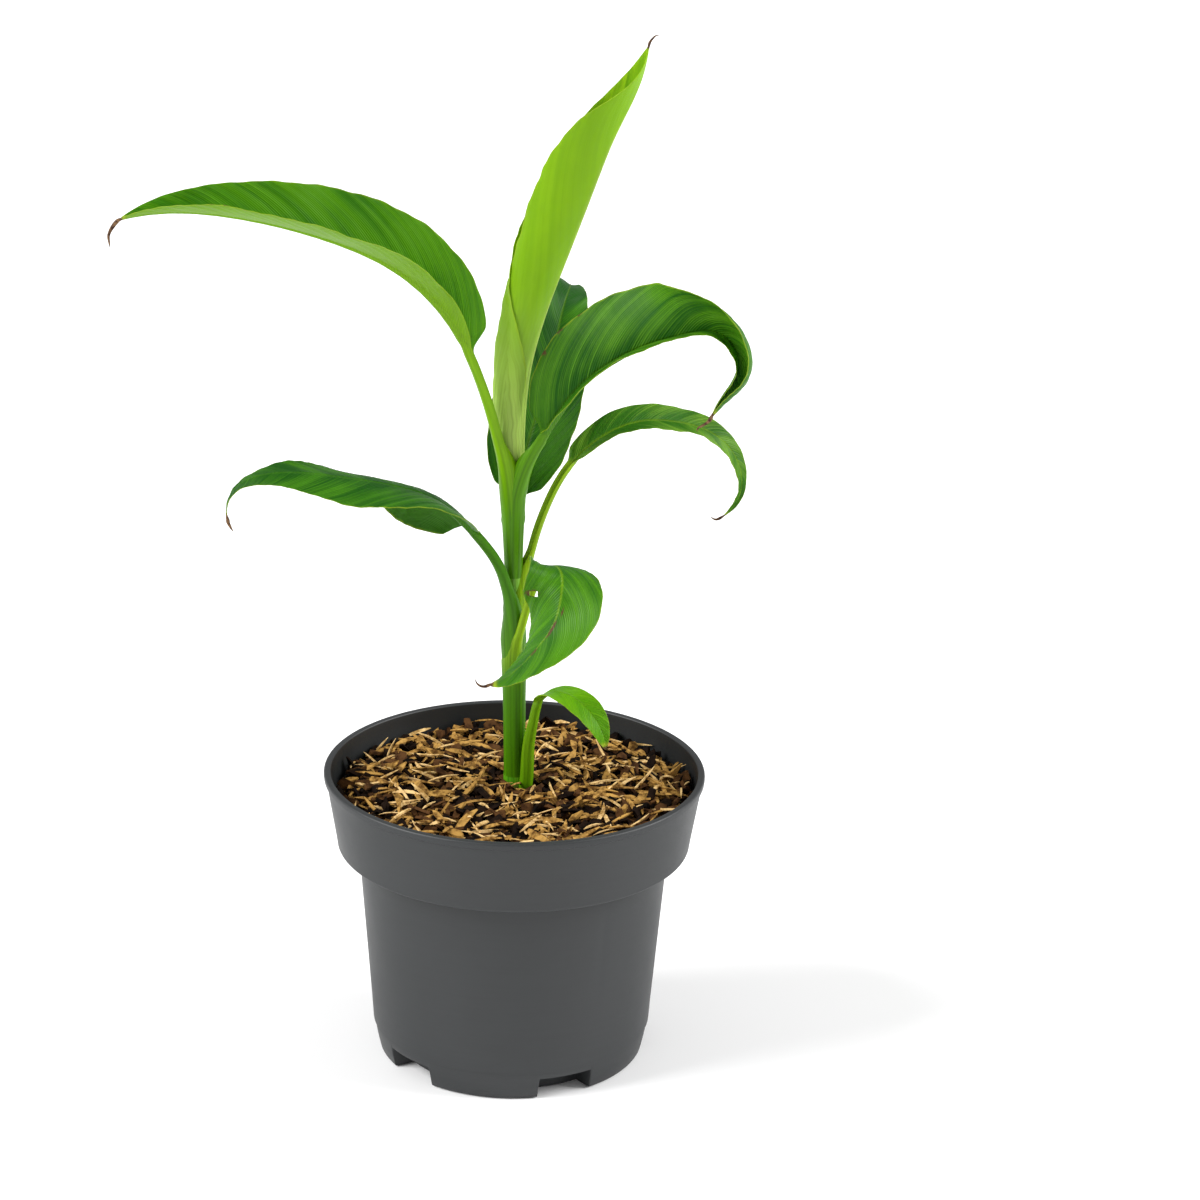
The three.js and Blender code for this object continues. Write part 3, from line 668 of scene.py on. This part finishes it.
def build_stem():
    """The stem's core: circles round its middle line, of the stem's radius at each height less a little,
    plus a low wave of 19 ribs round them. The leaves' sheaths wrap round it."""
    heights = np.linspace(STEM_FOOT - 0.6, FORK - 2, 150)
    angle = np.linspace(0, 2 * math.pi, 72, endpoint=False)
    radius = (stem_radius(heights) - 0.15)[:, None] + 0.03 * np.sin(19 * angle)[None]
    middle = stem_middle(heights)
    rings = np.stack([
        middle[:, :1] + radius * np.cos(angle),
        middle[:, 1:] + radius * np.sin(angle),
        heights[:, None] * np.ones_like(radius),
    ], -1)
    f = Finish("stem_sheath", roughness=0.38, specular_ior_level=0.4)
    turn, rise = f.attribute("turn"), f.attribute("rise")
    grain = f.noise(f.vector(turn * 6, rise * 0.012, 0.0), 1.0, 3.0)
    drift = f.noise(f.vector(turn * 0.9, rise * 0.02, 2.0), 1.0, 2.0)
    tone = ((grain - 0.5) * 2.0 + (drift - 0.5) * 2.2 + 0.5).held()
    colour = f.blend(tone, rgb(0.03, 0.17, 0.001), rgb(0.12, 0.38, 0.002))
    colour = f.blend(rise.rise(150, 225), colour, rgb(0.24, 0.46, 0.03))
    colour = f.blend(1 - rise.rise(102.0, 105.5), colour, rgb(0.16, 0.13, 0.03))
    f.set(base_color=colour, roughness=0.3 + grain * 0.25)
    f.bump(grain, 0.25, 0.0003)
    attributes = {"turn": np.broadcast_to(4 * np.abs((angle / math.pi) - 1), radius.shape),
                  "rise": np.broadcast_to(heights[:, None], radius.shape)}
    piece = ring_body("stem_core", rings, f.material, attributes)
    declare(piece, "stem_green", "stem")


# ---------------------------------------------------------------- pot

NOTCH_MIDDLES = [24 - 90 + 72 * i for i in range(5)]
NOTCH_HALF = 12.0
NOTCH_TOP = 8.0
NOTCH_BACK = 41.0


def arc(centre_r, centre_z, radius, start, end, count):
    """Points on a circle in the pot's profile plane, from one angle to another."""
    angle = np.radians(np.linspace(start, end, count))
    return np.stack([centre_r + radius * np.cos(angle), centre_z + radius * np.sin(angle)], -1)


def pot_profile():
    """The pot's wall from the middle of its underside, out, up, over the lip and down the inside."""
    top, rim = RIM_HEIGHT, RIM_RADIUS
    lower = [[0, 0], [20, 0], [NOTCH_BACK - 2, 0], [NOTCH_BACK, 0], [NOTCH_BACK + 0.4, 0], [48.0, 0],
             [48.8, 0.15], [49.2, 0.7], [50.2, 5], [50.75, NOTCH_TOP], [51.1, 9.6]]
    seam = [[51.2, 10.6], [51.25, 11.0], [51.3, 11.12], [51.66, 11.18], [51.7, 11.5]]
    body = [[mix(51.6, 57.2, t), mix(11.5, 79.6, t)] for t in (0.12, 0.3, 0.5, 0.7, 0.88, 1.0)]
    step = np.concatenate([arc(58.4, 80.1, 1.2, 180, 90, 6), arc(63.8, 82.5, 1.25, -90, 0, 8)])
    collar = [[mix(65.1, 69.0, t), mix(83.2, 106.4, t)] for t in (0.1, 0.35, 0.6, 0.85, 1.0)]
    lip = np.concatenate([
        [[69.15, 107.0], [69.5, 107.25], [rim - 0.12, 107.5]],
        arc(rim - 0.7, top - 1.6, 0.7, 0, 0, 1),
        arc(rim - 0.9, top - 0.9, 0.9, 0, 90, 8),
        arc(rim - 1.9, top - 0.7, 0.7, 90, 180, 7),
    ])
    inside = [[rim - 2.75, top - 2.6], [66.9, 103.5], [65.9, 97.0], [64.2, 86.0], [63.6, 83.6], [62.5, 82.9],
              [57.0, 82.4], [55.8, 80.5], [50.2, 12.0], [49.5, 10.0], [38.5, 10.0], [38.5, 2.0], [20, 2.0],
              [0, 2.0]]
    return np.concatenate([lower, seam, body, step, collar, lip, inside])


def build_pot():
    """The pot: its profile (r, z) turned about the Z axis, (r cos, r sin, z), with the foot pulled in to a
    roof and a back wall wherever the angle is within half a notch of a notch's middle. Its inside wall and
    floor carry painted shade."""
    profile = pot_profile()
    degrees = np.arange(0, 360, 1.0)
    for middle in NOTCH_MIDDLES:
        for sign in (-1, 1):
            wall = middle + sign * NOTCH_HALF
            degrees = np.concatenate([degrees, [(wall + d) % 360 for d in (-0.35, -0.12, 0.12, 0.35)]])
    degrees = np.unique(degrees.round(3))
    angle = np.radians(degrees)
    away = np.min([np.abs((degrees - m + 180) % 360 - 180) for m in NOTCH_MIDDLES], axis=0)
    notch = 1 - smooth(NOTCH_HALF - 0.35, NOTCH_HALF + 0.35, away)
    r = np.repeat(profile[1:-1, :1], len(angle), 1)
    z = np.repeat(profile[1:-1, 1:], len(angle), 1)
    foot_r = {4: NOTCH_BACK + 0.8, 5: 50.0, 6: 50.45, 7: 50.6, 8: 50.68}
    foot_z = {3: NOTCH_TOP - 0.7, 4: NOTCH_TOP, 5: NOTCH_TOP, 6: NOTCH_TOP + 0.05, 7: NOTCH_TOP + 0.12,
              8: NOTCH_TOP + 0.3}
    for row in range(3, 9):
        r[row] = mix(r[row], foot_r.get(row, r[row]), notch)
        z[row] = mix(z[row], foot_z.get(row, z[row]), notch)
    dent = np.exp(-(((np.degrees(angle) - 306 + 180) % 360 - 180) / 2.2) ** 2)
    r = r - 0.25 * dent * np.exp(-((z - 60) / 4.5) ** 2) * (r > 50)
    rings = np.stack([r * np.cos(angle), r * np.sin(angle), z], -1)
    poles = np.array([[0, 0, profile[0, 1]], [0, 0, profile[-1, 1]]])
    f = Finish("slate_plastic", specular_ior_level=0.5)
    place = f.place()
    mottle = f.noise(place, 60.0, 3.0)
    pores = f.noise(place, 2600.0, 2.0)
    drag = f.noise(f.node("ShaderNodeMapping", {}, {"Vector": place, "Scale": (40.0, 40.0, 900.0)}), 1.0, 2.0)
    tone = ((mottle - 0.5) * 1.6 + (drag - 0.5) * 0.5 + 0.5).held()
    colour = f.blend(tone, rgb(0.0125, 0.0142, 0.0153), rgb(0.0185, 0.0208, 0.0222))
    # painted shade: the inside wall and floor are blended towards near black, where the pot's own shade falls
    colour = f.blend(f.attribute("inner") * 0.7, colour, rgb(0.006, 0.007, 0.007))
    f.set(base_color=colour, roughness=0.4 + mottle * 0.16 + pores * 0.05)
    f.bump(pores + drag * 0.4, 0.16, 0.00012)
    # mask of the profile rows inside the lip, where the painted shade goes
    inner = np.repeat((np.arange(len(profile) - 2) > len(profile) - 17)[:, None], len(angle), 1)
    piece = ring_body("nursery_pot", rings, f.material, {"inner": inner}, crease=38)
    mesh = piece.data
    count = len(mesh.vertices)
    mesh.vertices[0].co = poles[0] * MM
    mesh.vertices[count - 1].co = poles[1] * MM
    declare(piece, "pot_plastic", "pot")


# ---------------------------------------------------------------- mulch

def mulch_height(x, y):
    """Height of the compost: a low dome with uneven hollows, from sines in x and y."""
    radius = np.hypot(x, y)
    dome = mix(103.6, 100.9, (radius / 66) ** 2)
    return dome + 0.5 * np.sin(x * 0.21 + 1) * np.cos(y * 0.17) + 0.35 * np.sin(x * 0.5 + y * 0.43)


def build_compost():
    """The dark compost under the chips: circles at the mulch's height, which close in to its middle, and
    a skirt down the pot's inner wall."""
    angle = np.linspace(0, 2 * math.pi, 120, endpoint=False)
    radius = np.array([66.6, 66.2, 62, 56, 50, 44, 38, 32, 26, 20, 14, 8, 3])[:, None]
    x, y = radius * np.cos(angle), radius * np.sin(angle)
    height = mulch_height(x, y) - 2.8
    height[0] = 96
    top = np.stack([x, y, height], -1)
    base = np.stack([64.8 * np.cos(angle), 64.8 * np.sin(angle), 0 * angle + 92], -1)[None]
    f = Finish("dark_compost", roughness=0.9)
    crumb = f.noise(f.place(), 420.0, 4.0)
    f.set(base_color=f.blend(crumb.rise(0.35, 0.7), rgb(0.003, 0.002, 0.001), rgb(0.02, 0.009, 0.004)))
    f.bump(crumb, 0.9, 0.0012)
    piece = ring_body("compost_bed", np.concatenate([base, top]), f.material)
    declare(piece, "mulch", "compost")


def scatter(count, rng, reach=66.0):
    """Places spread evenly over the mulch: random radii by the square root, and random angles."""
    radius = reach * np.sqrt(rng.uniform(0.0, 1, count))
    angle = rng.uniform(0, 2 * math.pi, count)
    return radius * np.cos(angle), radius * np.sin(angle)


def turned(points, yaw, pitch, roll):
    """Points (piece, corner, xyz) turned by roll about X, pitch about Y, then yaw about Z."""
    for angle, (i, j) in ((roll, (1, 2)), (pitch, (2, 0)), (yaw, (0, 1))):
        cos, sin = np.cos(angle)[:, None], np.sin(angle)[:, None]
        first, second = points[..., i].copy(), points[..., j].copy()
        points[..., i] = first * cos - second * sin
        points[..., j] = first * sin + second * cos
    return points


def chips(count, rng, size, stretch, thickness, lift, reach=64.0):
    """Flat bark chips: seven-sided prisms with uneven corners and a slight cup, lying at all angles."""
    sides = 7
    angle = np.linspace(0, 2 * math.pi, sides, endpoint=False) + rng.uniform(-0.3, 0.3, (count, sides))
    length = rng.uniform(*size, count)[:, None]
    radius = length / 2 * rng.uniform(0.6, 1.1, (count, sides))
    narrow = rng.uniform(*stretch, count)[:, None]
    x, y = radius * np.cos(angle), radius * narrow * np.sin(angle)
    cup = rng.uniform(-0.12, 0.12, count)[:, None] * x * x / length
    half = rng.uniform(*thickness, count)[:, None] / 2
    upper = np.stack([x * 0.93, y * 0.93, cup + half], -1)
    lower = np.stack([x, y, cup - half], -1)
    caps = np.stack([np.zeros((count, 3)), np.zeros((count, 3))], 1)
    caps[:, 0, 2], caps[:, 1, 2] = half[:, 0] * 1.15, -half[:, 0]
    points = np.concatenate([upper, lower, caps], 1)
    tilt = rng.normal(0, 0.45, (2, count))
    points = turned(points, rng.uniform(0, 2 * math.pi, count), tilt[0], tilt[1])
    px, py = scatter(count, rng, reach)
    points += np.stack([px, py, mulch_height(px, py) + rng.uniform(*lift, count)], -1)[:, None]
    ring = np.arange(sides)
    nxt = (ring + 1) % sides
    faces = np.concatenate([
        np.stack([ring, nxt, np.full(sides, 2 * sides)], -1),
        np.stack([nxt + sides, ring + sides, np.full(sides, 2 * sides + 1)], -1),
        np.stack([ring + sides, nxt + sides, nxt], -1),
        np.stack([ring + sides, nxt, ring], -1),
    ])
    return points, faces


def fibres(count, rng, size, width, thickness, lift, bend, reach=64.0):
    """Split fibres and shavings: flat bars of four spans that bend along an arc and taper to both ends."""
    spans = 4
    t = np.linspace(-0.5, 0.5, spans + 1)
    length = rng.uniform(*size, count)[:, None]
    curve = rng.normal(0, bend, count)[:, None]
    x = length * t
    y = curve * length * t * t
    arch = rng.uniform(-0.05, 0.35, count)[:, None] * length * (0.25 - t * t)
    taper = 1 - 0.75 * (2 * np.abs(t)) ** 3
    w = rng.uniform(*width, count)[:, None] / 2 * taper
    h = rng.uniform(*thickness, count)[:, None] / 2 * taper
    corners = [np.stack([x, y + a * w, arch + b * h], -1) for a, b in ((-1, -1), (1, -1), (1, 1), (-1, 1))]
    points = np.stack(corners, 2).reshape(count, -1, 3)
    tilt = rng.normal(0, 0.26, (2, count))
    points = turned(points, rng.uniform(0, 2 * math.pi, count), tilt[0], tilt[1] * 3)
    px, py = scatter(count, rng, reach)
    points += np.stack([px, py, mulch_height(px, py) + rng.uniform(*lift, count)], -1)[:, None]
    faces = [[0, 3, 2], [0, 2, 1]]
    for span in range(spans):
        for k in range(4):
            a, b = 4 * span + k, 4 * span + (k + 1) % 4
            faces += [[a, b, b + 4], [a, b + 4, a + 4]]
    end = 4 * spans
    faces += [[end, end + 1, end + 2], [end, end + 2, end + 3]]
    return points, np.array(faces)


def mulch_finish(name, dark, light):
    """Dry wood: two plain tones mixed by a fine grain, rough, with a fibrous bump."""
    f = Finish(name, roughness=0.75, specular_ior_level=0.05)
    grain, patch = f.noise(f.place(), 900.0, 3.0), f.noise(f.place(), 240.0, 2.0)
    tone = (grain * 0.35 + patch * 0.65).rise(0.36, 0.6)
    f.set(base_color=f.blend(tone, dark, light), roughness=0.6 + grain * 0.25)
    f.bump(grain, 0.5, 0.0003)
    return f.material


def build_mulch():
    rng = np.random.default_rng(404)
    kinds = [
        ("dark_bark", chips(1200, rng, (6, 13), (0.3, 0.75), (0.6, 1.5), (-2.6, 0.9)),
         rgb(0.002, 0.001, 0.0006), rgb(0.013, 0.006, 0.003)),
        ("brown_bark", chips(520, rng, (6, 12), (0.28, 0.7), (0.5, 1.4), (-1.6, 1.4)),
         rgb(0.03, 0.012, 0.004), rgb(0.09, 0.04, 0.013)),
        ("tan_chips", chips(190, rng, (6, 12), (0.2, 0.5), (0.5, 1.1), (-0.9, 1.9)),
         rgb(0.085, 0.037, 0.008), rgb(0.38, 0.21, 0.052)),
        ("tan_fibres", fibres(410, rng, (7, 19), (1.0, 2.8), (0.4, 1.0), (-1.0, 2.2), 0.1),
         rgb(0.095, 0.042, 0.009), rgb(0.46, 0.26, 0.068)),
        ("pale_fibres", fibres(230, rng, (6, 18), (0.6, 1.6), (0.3, 0.8), (0.2, 2.6), 0.2),
         rgb(0.32, 0.18, 0.05), rgb(0.76, 0.52, 0.23)),
    ]
    for name, (points, faces), dark, light in kinds:
        radius = np.hypot(points[..., 0], points[..., 1])
        inside = (radius.max(1) < 66.3) & (np.hypot(points[..., 0] - 0.6, points[..., 1] - 2.0).min(1) > 3.6)
        inside &= np.hypot(points[..., 0] - 5.0, points[..., 1] + 1.8).min(1) > 1.6
        points = points[inside]
        count, corners, _ = points.shape
        all_faces = (faces[None] + corners * np.arange(count)[:, None, None]).reshape(-1, 3)
        finish = mulch_finish(name, dark, light)
        piece = mesh_piece(name, points.reshape(-1, 3), all_faces.tolist(), finish, crease=35)
        declare(piece, "mulch")


# ---------------------------------------------------------------- stage

def build_stage():
    """Pale floor and soft lights from above and both sides."""
    size = 3000
    floor_points = np.array([[-size, -size, 0], [size, -size, 0], [size, size, 0], [-size, size, 0]], float)
    f = Finish("pale_floor", roughness=0.9)
    f.set(base_color=rgb(0.96, 0.96, 0.96))
    floor = mesh_piece("floor", floor_points - [0, 0, 0.4], [[0, 1, 2, 3]], f.material)
    scene = bpy.context.scene
    scene.view_settings.view_transform = "Standard"
    world = bpy.data.worlds.new("studio")
    world.use_nodes = True
    world.node_tree.nodes["Background"].inputs[0].default_value = rgb(1, 1, 1)
    world.node_tree.nodes["Background"].inputs[1].default_value = 0.52
    scene.world = world
    suns = [("left", (-1.0, -0.28, 0.75), 3.5, 32), ("right", (1.0, -0.02, 0.62), 3.0, 32)]
    for name, toward, power, spread in suns:
        light = bpy.data.lights.new(name, "SUN")
        light.energy = power
        light.angle = math.radians(spread)
        lamp = bpy.data.objects.new(name, light)
        lamp.matrix_world = Vector(toward).to_track_quat("Z", "Y").to_matrix().to_4x4()
        scene.collection.objects.link(lamp)


def build_camera():
    """A long lens that looks a little down on the pot, tipped by a small roll."""
    distance, elevation = 1325.0, math.radians(22.3)
    pan, tilt, roll = (math.radians(a) for a in (1.4, 19.6, 1.3))
    place = np.array([0, -distance * math.cos(elevation), 110 + distance * math.sin(elevation)])
    ahead = np.array([math.sin(pan) * math.cos(tilt), math.cos(pan) * math.cos(tilt), -math.sin(tilt)])
    level = np.array([math.cos(pan), -math.sin(pan), 0])
    up = np.cross(level, ahead)
    right = math.cos(roll) * level + math.sin(roll) * up
    up = -math.sin(roll) * level + math.cos(roll) * up
    data = bpy.data.cameras.new("camera")
    data.lens = 108
    data.sensor_width = 36
    data.clip_end = 20
    camera = bpy.data.objects.new("camera", data)
    matrix = Matrix(np.column_stack([right, up, -ahead]).tolist()).to_4x4()
    matrix.translation = place * MM
    camera.matrix_world = matrix
    bpy.context.scene.collection.objects.link(camera)
    bpy.context.scene.camera = camera


build_camera()
build_leaves()
build_threads()
build_stem()
build_pot()
build_compost()
build_mulch()
build_stage()
